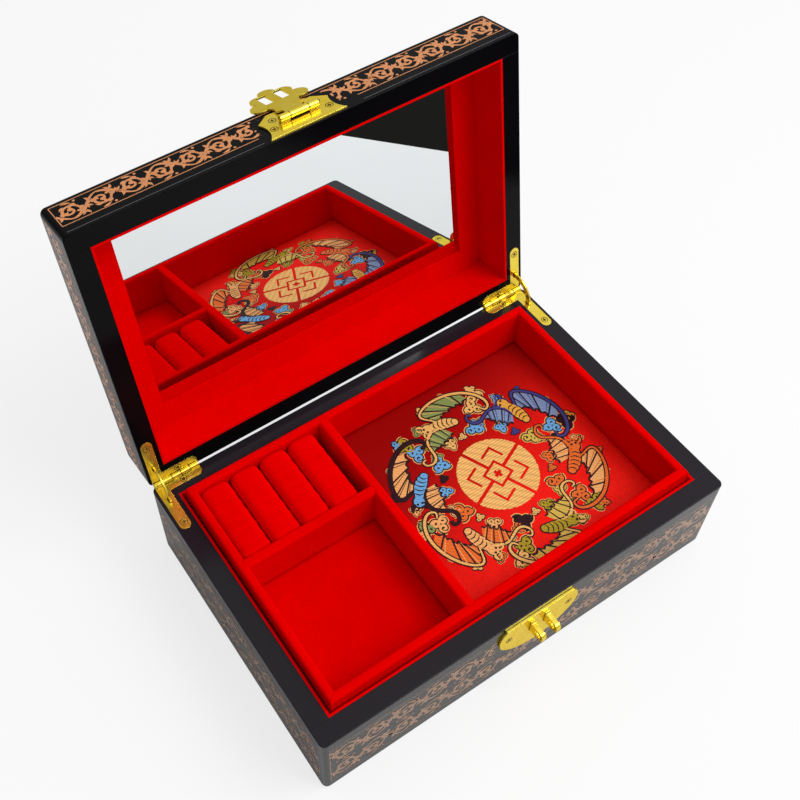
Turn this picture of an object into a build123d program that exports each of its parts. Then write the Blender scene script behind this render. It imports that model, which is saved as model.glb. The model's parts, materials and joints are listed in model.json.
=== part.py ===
from build123d import *
import os
from math import asin, cos, degrees, hypot, radians, sin

# A lacquered jewelry box, stored with its lid open. Millimetres, +Z up, +Y to the back.
# The origin is the centre of the base's underside.

# Case
box_width = 280.0
box_depth = 185.0
base_height = 64.5
lid_height = 32.0
wall = 12.0
rim_gap = 1.0
corner_round = 3.6
base_edge_round = 2.4
lid_edge_round = 2.8
rim_round = 0.5
floor_thick = 5.0
lid_panel_thick = 2.5
lid_open_angle = 100.66

# Lining of the base and of the lid
liner_thick = 1.5
floor_pad_thick = 2.0
mirror_thick = 1.8
mirror_proud_border = 1.2
border_width = 17.6
mirror_overlap = 2.0
glue_gap = 0.1

# Lift-out tray
tray_side_gap = 1.7
tray_seat_gap = 0.2
tray_proud = 7.5
tray_height = 33.0
tray_wall = 5.5
tray_divider = 6.5
tray_edge_round = 2.0
tray_floor_thick = 3.0
tray_pad_thick = 2.0
cross_divider_y = 15.8
ledge_width = 6.0

# Ring rolls
roll_count = 4
roll_pitch = 19.85
roll_gap = 0.3
roll_side_slot = 5.1
roll_below_top = 2.0
roll_crown = 6.2
roll_bulge = 0.5
roll_end_draw = 1.4
roll_end_round = 2.6

# Corner hinges
leaf_width = 7.0
leaf_side_length = 35.0
leaf_back_length = 30.0
leaf_thick = 1.5
leaf_inset = 2.0
leaf_end_chamfer = 2.4
pin_behind = 0.2
pin_radius = 1.0
pin_play = 0.05
knuckle_count = 5
knuckle_gap = 0.4
mortise_play = 0.2
knuckle_play = 0.5
leaf_screw_from_end = 5.0
back_screw_from_end = 12.5

# Quadrant stays
stay_radius = 13.2
stay_width = 3.6
stay_thick = 1.0
stay_play = 0.3
stay_pin_radius = 0.9
stay_pin_length = 2.8
stay_pin_past = 15.0
stay_end_past = 20.0

# Screws
head_radius = 2.0
head_depth = 1.0
shank_radius = 1.1
screw_length = 8.0
recess_width = 0.6
recess_depth = 0.4
screw_play = 0.03

# Hasp on the lid
hasp_x = 2.3
hasp_plate_thick = 1.2
hasp_plate_low = 0.8
hasp_plate_foot = 23.3
hasp_plate_waist = 20.0
hasp_plate_shoulder = 21.6
hasp_plate_shoulder_up = 17.6
hasp_plate_crown = 14.1
hasp_plate_crown_up = 23.2
hasp_notch = 7.6
hasp_notch_up = 19.6
hasp_pin_up = 11.5
hasp_pin_out = 3.6
hasp_pin_radius = 0.9
hasp_knuckle_radius = 2.1
hasp_neck = 12.0
hasp_web = 2.4
hasp_barrel = 23.4
hasp_rest_lean = 8.5
hasp_leaf_thick = 1.0
hasp_barb_out = 3.2
hasp_barb_start = 8.0
hasp_barb_point = 9.2
hasp_barb_end = 12.4
hasp_waist_in = 1.0
low_lobe_out = 12.1
low_lobe_drop = 6.9
low_lobe_radius = 5.5
high_lobe_out = 7.6
high_lobe_rise = 2.6
high_lobe_radius = 5.3
tip_lobe_rise = 7.8
tip_lobe_radius = 5.2
slot_width = 5.2
slot_play = 1.95

# Staple on the base
staple_thick = 1.5
staple_below_rim = 4.0
staple_top_half = 23.5
staple_side_half = 27.6
staple_low_half = 22.8
staple_side_down = 10.0
staple_low_down = 23.0
staple_height = 34.0
lug_thick = 3.0
lug_pitch = 10.3
lug_reach = 10.4
lug_root = 8.6
lug_flare = 1.2
lug_tip = 6.8
lug_tip_round = 2.6
lug_centre_down = 15.5
lug_hole_radius = 2.3
lug_hole_out = 6.0

# Places worked out from the sizes above
half_width = box_width / 2
half_depth = box_depth / 2
inner_half_width = half_width - wall
inner_half_depth = half_depth - wall
lid_rim_z = base_height + rim_gap
lid_top_z = lid_rim_z + lid_height
pin_y = half_depth + pin_behind
pin_z = base_height + rim_gap / 2
knuckle_radius = rim_gap / 2 + leaf_thick
hinge_axis = Axis((0, pin_y, pin_z), (1, 0, 0))


def block(x, y, z):
    """A box between two limits along each axis."""
    spans = (x, y, z)
    size = [high - low for low, high in spans]
    centre = [(high + low) / 2 for low, high in spans]
    return Pos(*centre) * Box(*size)


def rod_x(radius, x_low, x_high, y, z):
    """A round bar along X."""
    middle = (x_low + x_high) / 2
    return Pos(middle, y, z) * Rot(0, 90, 0) * Cylinder(radius, x_high - x_low)


def both_sides(part):
    """The part and its mirror image across the box's middle plane."""
    return part + mirror(part, Plane.YZ)


def to_lid(part):
    """A shape of the base's rim turned over onto the closed lid's rim."""
    return mirror(part, Plane.XY.offset(pin_z))


def opened(part):
    """A piece of the closed lid swung up to its open rest."""
    return part.rotate(hinge_axis, -lid_open_angle)


def case_block(height, edge_round, edge_at_top):
    """The outside of the base or lid as one block, with its rounded edges."""
    outer = 1 if edge_at_top else 0
    body = Pos(0, 0, height / 2) * Box(box_width, box_depth, height)
    body = fillet(body.edges().filter_by(Axis.Z), corner_round)
    outer_face = body.faces().sort_by(Axis.Z)[-outer]
    body = fillet(outer_face.edges(), edge_round)
    rim_face = body.faces().sort_by(Axis.Z)[outer - 1]
    return fillet(rim_face.edges(), rim_round)


def four_walls(body, z_low, z_high):
    """Front, back, left and right walls cut from a case block."""
    z = (z_low, z_high)
    full = (-half_width, half_width)
    between = (-inner_half_depth, inner_half_depth)
    return {
        "front": body & block(full, (-half_depth, -inner_half_depth), z),
        "back": body & block(full, (inner_half_depth, half_depth), z),
        "left": body & block((-half_width, -inner_half_width), between, z),
        "right": body & block((inner_half_width, half_width), between, z),
    }


def lining_boards(z_low, z_high):
    """Four thin boards that line the inside of the walls."""
    z = (z_low, z_high)
    out_x, out_y = inner_half_width, inner_half_depth
    in_x, in_y = out_x - liner_thick, out_y - liner_thick
    return {
        "front": block((-out_x, out_x), (-out_y, -in_y), z),
        "back": block((-out_x, out_x), (in_y, out_y), z),
        "left": block((-out_x, -in_x), (-in_y, in_y), z),
        "right": block((in_x, out_x), (-in_y, in_y), z),
    }


def screw():
    """A countersunk screw, head top at the origin, pointing down."""
    head = Pos(0, 0, -head_depth / 2) * Cone(shank_radius, head_radius, head_depth)
    shank_length = screw_length - head_depth
    shank = Pos(0, 0, -head_depth - shank_length / 2) * Cylinder(shank_radius, shank_length)
    slot = Pos(0, 0, -recess_depth / 2) * Box(head_radius * 1.3, recess_width, recess_depth)
    return head + shank - slot - Rot(0, 0, 90) * slot


def screw_hole():
    """The countersunk hole that takes a screw."""
    radius = shank_radius + screw_play
    head = Pos(0, 0, -head_depth / 2) * Cone(radius, head_radius + screw_play, head_depth)
    bore = Pos(0, 0, -screw_length / 2) * Cylinder(radius, screw_length)
    return head + bore


def placed(shape, places):
    """Copies of a shape at several locations, as one group."""
    return Compound([place * shape for place in places])


def cut_holes(part, places):
    """The part with a screw hole at each place."""
    hole = screw_hole()
    for place in places:
        part = part - place * hole
    return part


# Right corner hinge, drawn on the base's rim; the left one is its mirror image
leaf_out = half_width - leaf_inset
leaf_in = leaf_out - leaf_width
leaf_far = leaf_out - leaf_back_length
leaf_front = half_depth - leaf_side_length
back_arm_front = half_depth - leaf_width
stay_x = (leaf_out + leaf_in) / 2
slot_front = pin_y - stay_radius - stay_width / 2 - stay_play
slot_back = pin_y - (stay_radius - stay_width / 2) + 2 * stay_play
knuckle_pitch = leaf_back_length / knuckle_count


def leaf_outline(grow):
    """The L-shaped outline of a hinge leaf, grown by a margin."""
    nose = leaf_width / 2 + grow
    side = Pos(stay_x, (leaf_front + leaf_width / 2 + pin_y) / 2) * Rectangle(
        2 * nose, pin_y - leaf_front - leaf_width / 2)
    tip = Pos(stay_x, leaf_front + leaf_width / 2) * Circle(nose)
    back = make_face(Polyline(
        (leaf_far - grow, back_arm_front + leaf_end_chamfer),
        (leaf_far + leaf_end_chamfer, back_arm_front - grow),
        (leaf_out + grow, back_arm_front - grow),
        (leaf_out + grow, pin_y),
        (leaf_far - grow, pin_y),
        close=True))
    return side + tip + back


def leaf_screw_places():
    """Where the two screws of the right-hand base leaf stand."""
    side = Pos(stay_x, leaf_front + leaf_screw_from_end, base_height)
    back_middle = (back_arm_front + pin_y - knuckle_radius) / 2
    back = Pos(leaf_far + back_screw_from_end, back_middle, base_height)
    return [side, back]


def knuckle(index, radius, grow):
    """One knuckle of the barrel, counted from the inner end."""
    low = leaf_far + index * knuckle_pitch
    margin = grow - knuckle_gap / 2
    return rod_x(radius, low - margin, low + knuckle_pitch + margin, pin_y, pin_z)


def hinge_leaf(own, bore_radius):
    """The right-hand base leaf, with the knuckles whose numbers are in own."""
    leaf = Pos(0, 0, base_height - leaf_thick) * extrude(leaf_outline(0), leaf_thick)
    for index in range(knuckle_count):
        if index in own:
            leaf = leaf + knuckle(index, knuckle_radius, 0)
        else:
            leaf = leaf - knuckle(index, knuckle_radius + knuckle_gap, knuckle_gap)
    leaf = leaf - rod_x(bore_radius, leaf_far - 1, leaf_out + 1, pin_y, pin_z)
    slot = block(
        (stay_x - stay_thick / 2 - stay_play, stay_x + stay_thick / 2 + stay_play),
        (slot_front, slot_back),
        (base_height - 2 * leaf_thick, base_height + leaf_thick))
    return cut_holes(leaf - slot, leaf_screw_places())


def hinge_seat():
    """What the right hinge takes out of the base's wood: mortise, barrel groove and pocket."""
    mortise = Pos(0, 0, base_height - leaf_thick) * extrude(
        leaf_outline(mortise_play), leaf_thick + rim_gap)
    groove = rod_x(
        knuckle_radius + knuckle_play, leaf_far - mortise_play, leaf_out + mortise_play, pin_y, pin_z)
    lowest = radians(stay_end_past + lid_open_angle / 2)
    outside = stay_radius + stay_width / 2 + stay_play
    inside = stay_radius - stay_width / 2
    half_pocket = stay_pin_length / 2 + stay_play
    pocket = block(
        (stay_x - half_pocket, stay_x + half_pocket),
        (pin_y - outside, pin_y - inside * cos(lowest) + stay_play),
        (pin_z - outside * sin(lowest), base_height))
    return mortise + groove + pocket


def stay():
    """The right quadrant stay in the open pose, an arc about the hinge pin."""
    plane = Plane((stay_x, pin_y, pin_z), x_dir=(0, 1, 0), z_dir=(1, 0, 0))
    start = 180 - lid_open_angle - stay_end_past
    sweep = lid_open_angle + 2 * stay_end_past
    outer = CenterArc((0, 0), stay_radius + stay_width / 2, start, sweep)
    inner = CenterArc((0, 0), stay_radius - stay_width / 2, start, sweep)
    strip = make_face(outer + inner + Line(outer @ 0, inner @ 0) + Line(outer @ 1, inner @ 1))
    body = extrude(plane * strip, stay_thick / 2, both=True)
    for angle in (180 + stay_pin_past, 180 - lid_open_angle - stay_pin_past):
        y = pin_y + stay_radius * cos(radians(angle))
        z = pin_z + stay_radius * sin(radians(angle))
        half = stay_pin_length / 2
        body = body + rod_x(stay_pin_radius, stay_x - half, stay_x + half, y, z)
    return body


# Screw places on both sides, for the base and for the closed lid
right_base_screws = leaf_screw_places()
left_base_screws = [Pos(-p.position.X, p.position.Y, base_height) for p in right_base_screws]
base_screws = right_base_screws + left_base_screws
lid_screws = [
    Pos(p.position.X, p.position.Y, lid_rim_z) * Rot(180, 0, 0) for p in base_screws]

# Hasp and staple, drawn on the front faces: local x is +X, local y is up, local z is outwards
lid_front_plane = Plane((hasp_x, -half_depth, lid_rim_z), x_dir=(1, 0, 0), z_dir=(0, -1, 0))
base_front_plane = Plane((hasp_x, -half_depth, base_height), x_dir=(1, 0, 0), z_dir=(0, -1, 0))
hasp_pin_y = -half_depth - hasp_pin_out
hasp_pin_z = lid_rim_z + hasp_pin_up
hasp_axis = Axis((hasp_x, hasp_pin_y, hasp_pin_z), (1, 0, 0))
slot_middle = hasp_pin_up + rim_gap + lug_centre_down
slot_length = lug_root + 2 * slot_play
hasp_side_hole = (17.0, 8.6)
hasp_top_hole = (13.6, 16.8)
staple_hole = (21.2, -16.0)


def front_places(plane, lift, points):
    """Screw places on a front plate, on both sides of its middle."""
    places = []
    for x, y in points:
        for side in (-1, 1):
            places.append(plane.location * Pos(side * x, y, lift))
    return places


def mirrored_outline(lines):
    """A closed face from one half of an outline, mirrored across the local y axis."""
    half = Curve() + lines
    return make_face(half + mirror(half, Plane.YZ))


def hasp_plate():
    """The plate on the lid with its two outer knuckles, a notch and hollow ends."""
    foot = (hasp_plate_foot, hasp_plate_low)
    shoulder = (hasp_plate_shoulder, hasp_plate_shoulder_up)
    crown = (hasp_plate_crown, hasp_plate_crown_up)
    waist = (hasp_plate_waist, (hasp_plate_low + hasp_plate_shoulder_up) / 2)
    outline = mirrored_outline([
        Line((0, hasp_plate_low), foot),
        ThreePointArc(foot, waist, shoulder),
        Line(shoulder, crown),
        Line(crown, (hasp_notch, hasp_plate_crown_up)),
        Line((hasp_notch, hasp_plate_crown_up), (hasp_notch, hasp_notch_up)),
        Line((hasp_notch, hasp_notch_up), (0, hasp_notch_up)),
    ])
    plate = extrude(lid_front_plane * outline, hasp_plate_thick)
    neck_half = hasp_neck / 2
    web = (hasp_pin_z - hasp_web / 2, hasp_pin_z + hasp_web / 2)
    for side in (-1, 1):
        ends = sorted((hasp_x + side * neck_half, hasp_x + side * hasp_barrel / 2))
        plate = plate + block(ends, (hasp_pin_y, -half_depth), web)
        plate = plate + rod_x(hasp_knuckle_radius, ends[0], ends[1], hasp_pin_y, hasp_pin_z)
    bore = rod_x(
        hasp_pin_radius, hasp_x - hasp_barrel, hasp_x + hasp_barrel, hasp_pin_y, hasp_pin_z)
    return cut_holes(plate - bore, hasp_screw_places)


def hasp_leaf():
    """The cloud-shaped leaf with its knuckle and two slots, swung back to rest."""
    plane = Plane((hasp_x, hasp_pin_y, hasp_pin_z), x_dir=(1, 0, 0), z_dir=(0, -1, 0))
    neck_half = hasp_neck / 2 - knuckle_gap
    barb = neck_half + hasp_barb_out
    waist = barb - hasp_waist_in
    low_lobe = (low_lobe_out, slot_middle - low_lobe_drop)
    high_lobe = (high_lobe_out, slot_middle + high_lobe_rise)
    tip_lobe = (0, slot_middle + tip_lobe_rise)
    half = [
        (neck_half, 0), (neck_half, hasp_barb_start), (barb, hasp_barb_point), (waist, hasp_barb_end),
        low_lobe, high_lobe, tip_lobe]
    other_half = [(-x, y) for x, y in reversed(half[:-1])]
    outline = make_face(Polyline(*half, *other_half, close=True))
    outline = outline + Pos(*tip_lobe) * Circle(tip_lobe_radius)
    slots = Sketch()
    for side in (-1, 1):
        outline = outline + Pos(side * low_lobe[0], low_lobe[1]) * Circle(low_lobe_radius)
        outline = outline + Pos(side * high_lobe[0], high_lobe[1]) * Circle(high_lobe_radius)
        slots = slots + Pos(side * lug_pitch / 2, slot_middle) * Rectangle(slot_width, slot_length)
    leaf = extrude(plane * (outline - slots), hasp_leaf_thick / 2, both=True)
    barrel = rod_x(
        hasp_knuckle_radius, hasp_x - neck_half, hasp_x + neck_half, hasp_pin_y, hasp_pin_z)
    bore = rod_x(
        hasp_pin_radius + pin_play, hasp_x - neck_half, hasp_x + neck_half, hasp_pin_y, hasp_pin_z)
    return (leaf + barrel - bore).rotate(hasp_axis, -hasp_rest_lean)


def staple_plate():
    """The bellied plate on the base's front."""
    top = (staple_top_half, -staple_below_rim)
    side = (staple_side_half, -staple_below_rim - staple_side_down)
    low = (staple_low_half, -staple_below_rim - staple_low_down)
    bottom = (0, -staple_below_rim - staple_height)
    near_bottom = (staple_low_half * 0.6, bottom[1] + staple_height * 0.11)
    outline = mirrored_outline([
        Line((0, -staple_below_rim), top),
        ThreePointArc(top, side, low),
        ThreePointArc(low, near_bottom, bottom),
    ])
    plate = extrude(base_front_plane * outline, staple_thick)
    return cut_holes(plate, staple_screw_places)


def staple_lugs():
    """Two pierced lugs that stand out of the staple plate."""
    profile_plane = Plane((hasp_x, -half_depth - staple_thick, base_height - lug_centre_down),
                          x_dir=(0, -1, 0), z_dir=(-1, 0, 0))
    taper = lug_flare * (lug_root - lug_tip) / (2 * lug_reach)
    half = [
        (0, lug_root / 2 + lug_flare), (lug_flare, lug_root / 2 - taper), (lug_reach, lug_tip / 2)]
    profile = make_face(Polyline(*half, *[(x, -y) for x, y in reversed(half)], close=True))
    tip_corners = profile.vertices().sort_by(Axis.X)[-2:]
    profile = fillet(tip_corners, lug_tip_round)
    profile = profile - Pos(lug_hole_out, 0) * Circle(lug_hole_radius)
    lug = extrude(profile_plane * profile, lug_thick / 2, both=True)
    return placed(lug, [Pos(-lug_pitch / 2, 0, 0), Pos(lug_pitch / 2, 0, 0)])


hasp_screw_places = front_places(
    lid_front_plane, hasp_plate_thick, [hasp_side_hole, hasp_top_hole])
staple_screw_places = front_places(base_front_plane, staple_thick, [staple_hole])

nodes = {}

# Base: four walls, floor, lining and floor pad
base_block = case_block(base_height, base_edge_round, False)
hinge_cut = both_sides(hinge_seat())
for side, piece in four_walls(base_block, 0, base_height).items():
    if side != "front":
        piece = cut_holes(piece - hinge_cut, base_screws)
    else:
        piece = cut_holes(piece, staple_screw_places)
    nodes["base_" + side] = piece
inner_x = (-inner_half_width, inner_half_width)
inner_y = (-inner_half_depth, inner_half_depth)
nodes["base_floor"] = block(inner_x, inner_y, (0, floor_thick))
for side, board in lining_boards(floor_thick, base_height).items():
    nodes["base_lining_" + side] = board

# Tray: placed from its top, which stands above the rim
lined_half_width = inner_half_width - liner_thick
lined_half_depth = inner_half_depth - liner_thick
tray_half_width = lined_half_width - tray_side_gap
tray_half_depth = lined_half_depth - tray_side_gap
tray_top = base_height + tray_proud
tray_bottom = tray_top - tray_height
tray_inside_x = tray_half_width - tray_wall
tray_inside_y = tray_half_depth - tray_wall
tray_floor_top = tray_bottom + tray_floor_thick

# Ledges that carry the tray, and the pad between them
ledge_top = tray_bottom - tray_seat_gap
ledge_inside = lined_half_width - ledge_width
for name, side in (("left", -1), ("right", 1)):
    ends = sorted((side * ledge_inside, side * lined_half_width))
    nodes["tray_ledge_" + name] = block(
        ends, (-lined_half_depth, lined_half_depth), (floor_thick, ledge_top))
floor_pad = block(
    (-ledge_inside + glue_gap, ledge_inside - glue_gap),
    (-lined_half_depth + glue_gap, lined_half_depth - glue_gap),
    (floor_thick, floor_thick + floor_pad_thick))
nodes["base_floor_pad"] = fillet(floor_pad.faces().sort_by(Axis.Z)[-1].edges(), floor_pad_thick / 3)

# Lid, built closed and swung open at the end
lid_block = Pos(0, 0, lid_rim_z) * case_block(lid_height, lid_edge_round, True)
lid_cut = to_lid(hinge_cut)
lid_pieces = {}
for side, piece in four_walls(lid_block, lid_rim_z, lid_top_z).items():
    if side != "front":
        piece = cut_holes(piece - lid_cut, lid_screws)
    else:
        piece = cut_holes(piece, hasp_screw_places)
    lid_pieces["lid_" + side] = piece
panel_low = lid_top_z - lid_panel_thick
lid_pieces["lid_panel"] = block(inner_x, inner_y, (panel_low, lid_top_z))
mirror_low = panel_low - mirror_thick
border_low = mirror_low - mirror_proud_border
for side, board in lining_boards(lid_rim_z, border_low).items():
    lid_pieces["lid_lining_" + side] = board

# Mirror behind a border of four mitred strips
window_x = inner_half_width - border_width
window_y = inner_half_depth - border_width
mirror_x = window_x + mirror_overlap
mirror_y = window_y + mirror_overlap
lid_pieces["mirror"] = block(
    (-mirror_x, mirror_x), (-mirror_y, mirror_y), (mirror_low, panel_low))
mirror_bed = block(
    (-mirror_x - glue_gap, mirror_x + glue_gap),
    (-mirror_y - glue_gap, mirror_y + glue_gap),
    (mirror_low, panel_low))


def mitred_frame(outer, inner, z_low, z_high):
    """Four mitred blocks that frame an opening, each limit given as half sizes along x and y."""
    corners = []
    for x, y in (outer, inner):
        corners.append([(-x, -y), (x, -y), (x, y), (-x, y)])
    blocks = {}
    for index, side in enumerate(("front", "right", "back", "left")):
        after = (index + 1) % 4
        face = make_face(Polyline(
            corners[0][index], corners[0][after], corners[1][after], corners[1][index], close=True))
        blocks[side] = Pos(0, 0, z_low) * extrude(face, z_high - z_low)
    return blocks


border_frame = mitred_frame(
    (inner_half_width, inner_half_depth), (window_x, window_y), border_low, panel_low)
for side, strip in border_frame.items():
    lid_pieces["mirror_border_" + side] = strip - mirror_bed

# Hinges: leaves, pins and stays
base_knuckles = [index for index in range(knuckle_count) if index % 2 == 0]
lid_knuckles = [index for index in range(knuckle_count) if index % 2 == 1]
base_leaf = hinge_leaf(base_knuckles, pin_radius)
lid_leaf = to_lid(hinge_leaf(lid_knuckles, pin_radius + pin_play))
pin = rod_x(pin_radius, leaf_far + knuckle_gap / 2, leaf_out - knuckle_gap / 2, pin_y, pin_z)
nodes["hinge_base_leaf_right"] = base_leaf
nodes["hinge_base_leaf_left"] = mirror(base_leaf, Plane.YZ)
nodes["hinge_pin_right"] = pin
nodes["hinge_pin_left"] = mirror(pin, Plane.YZ)
nodes["hinge_base_screws"] = placed(screw(), base_screws)
nodes["stay_right"] = stay()
nodes["stay_left"] = mirror(stay(), Plane.YZ)
lid_pieces["hinge_lid_leaf_right"] = lid_leaf
lid_pieces["hinge_lid_leaf_left"] = mirror(lid_leaf, Plane.YZ)
lid_pieces["hinge_lid_screws"] = placed(screw(), lid_screws)

# Hasp on the lid and staple on the base
lid_pieces["hasp_plate"] = hasp_plate()
lid_pieces["hasp_leaf"] = hasp_leaf()
lid_pieces["hasp_pin"] = rod_x(
    hasp_pin_radius, hasp_x - hasp_barrel / 2, hasp_x + hasp_barrel / 2, hasp_pin_y, hasp_pin_z)
lid_pieces["hasp_screws"] = placed(screw(), hasp_screw_places)
nodes["staple_plate"] = staple_plate()
nodes["staple_lugs"] = staple_lugs()
nodes["staple_screws"] = placed(screw(), staple_screw_places)
for name, piece in lid_pieces.items():
    nodes[name] = opened(piece)


def divider(x, y):
    """A tray divider on the floor, with the long edges of its top rounded."""
    bar = block(x, y, (tray_floor_top, tray_top))
    along = Axis.X if x[1] - x[0] > y[1] - y[0] else Axis.Y
    top_edges = bar.faces().sort_by(Axis.Z)[-1].edges().filter_by(along)
    return fillet(top_edges, tray_edge_round)


# Tray dividers, let into the walls and into each other by the width of the rounded edge
tray_y = (-tray_inside_y, tray_inside_y)
long_divider_left = -tray_inside_x + roll_count * roll_pitch + roll_side_slot
long_divider_right = long_divider_left + tray_divider
cross_divider_front = cross_divider_y - tray_divider / 2
cross_divider_back = cross_divider_y + tray_divider / 2
let_in_y = tray_inside_y + tray_edge_round
long_divider = divider((long_divider_left, long_divider_right), (-let_in_y, let_in_y))
cross_divider = divider(
    (-tray_inside_x - tray_edge_round, long_divider_left + tray_edge_round),
    (cross_divider_front, cross_divider_back))
nodes["tray_long_divider"] = long_divider - cross_divider
nodes["tray_cross_divider"] = cross_divider

# Tray walls, mitred at the corners, with both edges of their top rounded, and the floor between
tray_ring = block(
    (-tray_half_width, tray_half_width), (-tray_half_depth, tray_half_depth),
    (tray_bottom, tray_top))
tray_ring = tray_ring - block((-tray_inside_x, tray_inside_x), tray_y, (tray_bottom, tray_top))
tray_ring = fillet(tray_ring.faces().sort_by(Axis.Z)[-1].edges(), tray_edge_round)
tray_frame = mitred_frame(
    (tray_half_width, tray_half_depth), (tray_inside_x, tray_inside_y), tray_bottom, tray_top)
for side, prism in tray_frame.items():
    nodes["tray_" + side] = (tray_ring & prism) - long_divider - cross_divider
nodes["tray_floor"] = block(
    (-tray_inside_x, tray_inside_x), tray_y, (tray_bottom, tray_floor_top))


def tray_pad(x, y):
    """A thin covered pad on the tray's floor, with a soft top edge."""
    pad = block(
        (x[0] + glue_gap, x[1] - glue_gap), (y[0] + glue_gap, y[1] - glue_gap),
        (tray_floor_top, tray_floor_top + tray_pad_thick))
    return fillet(pad.faces().sort_by(Axis.Z)[-1].edges(), tray_pad_thick / 3)


nodes["brocade_pad"] = tray_pad((long_divider_right, tray_inside_x), tray_y)
nodes["velvet_pad"] = tray_pad(
    (-tray_inside_x, long_divider_left), (-tray_inside_y, cross_divider_front))


def roll_section(y, inset):
    """A ring roll's outline across its length: full sides and a crowned top, drawn in by inset."""
    half = (roll_pitch - roll_gap) / 2 - inset
    low = tray_floor_top
    high = tray_top - roll_below_top - inset
    shoulder = high - roll_crown
    sides = half - roll_bulge
    face = make_face(
        Line((-sides, low), (sides, low))
        + ThreePointArc((sides, low), (half, (low + shoulder) / 2), (sides, shoulder))
        + ThreePointArc((sides, shoulder), (0, high), (-sides, shoulder))
        + ThreePointArc((-sides, shoulder), (-half, (low + shoulder) / 2), (-sides, low)))
    return Plane((0, y, 0), x_dir=(1, 0, 0), z_dir=(0, -1, 0)) * face


def ring_roll():
    """A foam ring roll with a crowned top and drawn-in ends, centred on X."""
    front = cross_divider_back + roll_gap
    back = tray_inside_y - roll_gap
    sections = [
        roll_section(front, roll_end_draw),
        roll_section(front + roll_end_round, roll_end_draw * 0.2),
        roll_section((front + back) / 2, 0),
        roll_section(back - roll_end_round, roll_end_draw * 0.2),
        roll_section(back, roll_end_draw),
    ]
    return loft(sections, ruled=True)


for index in range(roll_count):
    centre = -tray_inside_x + (index + 0.5) * roll_pitch
    nodes["ring_roll_" + str(index + 1)] = Pos(centre, 0, 0) * ring_roll()

os.makedirs("parts", exist_ok=True)
for name, piece in nodes.items():
    export_step(piece, "parts/" + name + ".step")
print(len(nodes), "nodes written")
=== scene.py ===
import json
from math import atan2, cos, degrees, hypot, pi, radians, sin, sqrt

import bmesh
import bpy
from mathutils import Matrix, Vector


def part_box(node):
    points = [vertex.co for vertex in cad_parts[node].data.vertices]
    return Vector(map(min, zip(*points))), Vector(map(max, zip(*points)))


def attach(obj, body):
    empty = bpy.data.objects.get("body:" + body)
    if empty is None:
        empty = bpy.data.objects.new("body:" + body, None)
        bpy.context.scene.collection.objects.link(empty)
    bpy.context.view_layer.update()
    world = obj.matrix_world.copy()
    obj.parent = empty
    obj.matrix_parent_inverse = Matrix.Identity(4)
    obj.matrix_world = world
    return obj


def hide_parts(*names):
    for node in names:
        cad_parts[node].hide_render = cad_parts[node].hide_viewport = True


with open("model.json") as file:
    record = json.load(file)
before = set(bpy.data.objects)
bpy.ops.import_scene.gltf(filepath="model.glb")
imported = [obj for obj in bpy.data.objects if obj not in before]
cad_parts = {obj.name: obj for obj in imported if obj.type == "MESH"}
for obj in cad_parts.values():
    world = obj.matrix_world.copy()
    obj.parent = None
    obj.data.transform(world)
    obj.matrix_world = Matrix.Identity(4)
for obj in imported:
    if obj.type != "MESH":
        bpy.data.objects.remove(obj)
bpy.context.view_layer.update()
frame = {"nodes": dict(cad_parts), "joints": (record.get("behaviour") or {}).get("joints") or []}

MM = 0.001
scene = bpy.context.scene
nodes = frame["nodes"]


# Measures read from the frame

def joint_named(name):
    return next(joint for joint in frame["joints"] if joint["name"] == name)


def box_round(points):
    """Lowest and highest corner of the box round some points."""
    points = list(points)
    lo = Vector(min(p[i] for p in points) for i in range(3))
    hi = Vector(max(p[i] for p in points) for i in range(3))
    return lo, hi


def rest_box(*names):
    """Lowest and highest corner of the box round some nodes at rest."""
    return box_round(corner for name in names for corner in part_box(name))


lid_hinge = joint_named("lid_hinge")
hinge_point = Vector(lid_hinge["pos_m"])
lid_angle = radians(max(lid_hinge["range_deg"]))
to_open = (
    Matrix.Translation(hinge_point)
    @ Matrix.Rotation(-lid_angle, 4, "X")
    @ Matrix.Translation(-hinge_point)
)
to_closed = to_open.inverted()


def closed_box(*names):
    """Lowest and highest corner of nodes of the lid, turned to where they are with the lid shut."""
    return box_round(to_closed @ v.co for name in names for v in nodes[name].data.vertices)


lid_walls = ("lid_front", "lid_back", "lid_left", "lid_right")
base_walls = ("base_front", "base_back", "base_left", "base_right")
lid_lo, lid_hi = closed_box(*lid_walls)
base_lo, base_hi = rest_box(*base_walls)


# Node helpers

class Nodes:
    """A node tree under construction: nodes are added by type and wired together."""

    def __init__(self, tree):
        self.tree = tree

    def add(self, kind, **values):
        node = self.tree.nodes.new(kind)
        for key, value in values.items():
            setattr(node, key, value)
        return node

    def link(self, source, target):
        self.tree.links.new(source, target)

    def math(self, operation, a, b):
        node = self.add("ShaderNodeMath", operation=operation)
        for value, socket in ((a, node.inputs[0]), (b, node.inputs[1])):
            if isinstance(value, (int, float)):
                socket.default_value = value
            else:
                self.link(value, socket)
        return node.outputs[0]

    def along(self, vector, direction):
        """How far a vector reaches along a direction."""
        node = self.add("ShaderNodeVectorMath", operation="DOT_PRODUCT")
        node.inputs[1].default_value = direction
        self.link(vector, node.inputs[0])
        return node.outputs["Value"]

    def blend(self, factor, a, b):
        """Shader a where the factor is 0, and shader b where it is 1."""
        node = self.add("ShaderNodeMixShader")
        self.link(factor, node.inputs["Fac"])
        self.link(a, node.inputs[1])
        self.link(b, node.inputs[2])
        return node.outputs["Shader"]


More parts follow.
